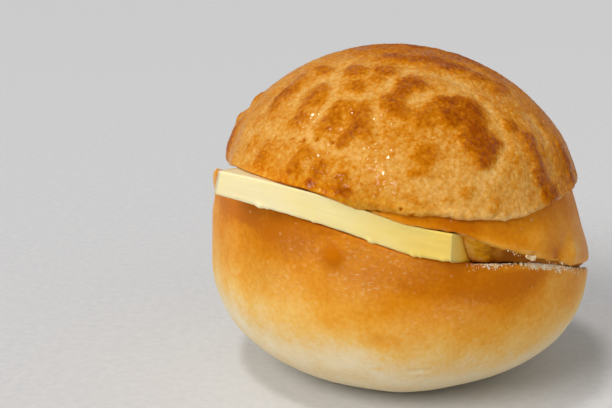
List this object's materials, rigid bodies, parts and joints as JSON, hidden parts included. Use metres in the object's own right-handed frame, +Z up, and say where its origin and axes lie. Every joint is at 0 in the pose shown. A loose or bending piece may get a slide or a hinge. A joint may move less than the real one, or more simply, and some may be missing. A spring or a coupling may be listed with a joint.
{
  "type": "butter-filled pineapple bun",
  "caption": "Round sweet bun with a browned, crackled sugar crust, slit at a slant and filled with a thick slice of butter that props the top half open.",
  "frame": {"origin": "on the table under the middle of the whole bun, butter included", "axes": "+Z up; -Y towards the open side where the butter stands out; +X towards the side where the slit is lowest and closes"},
  "size_m": [0.0998, 0.1028, 0.0857],
  "materials": {
    "bread_base": "egg-washed bread skin, golden brown above and pale at the foot, soft gloss",
    "bread_top": "egg-washed bread skin, orange brown, pale crumb on the cut face",
    "sugar_crust": "baked sugar dough, granular, golden with dark brown patches, patchy egg-wash gloss",
    "butter": "cold butter, smooth knife-cut faces, slightly see-through"
  },
  "bodies": {
    "root": {"bun_base": "bread_base", "bun_top": "bread_top", "sugar_crust": "sugar_crust", "butter_slab": "butter"}
  },
  "joints": []
}
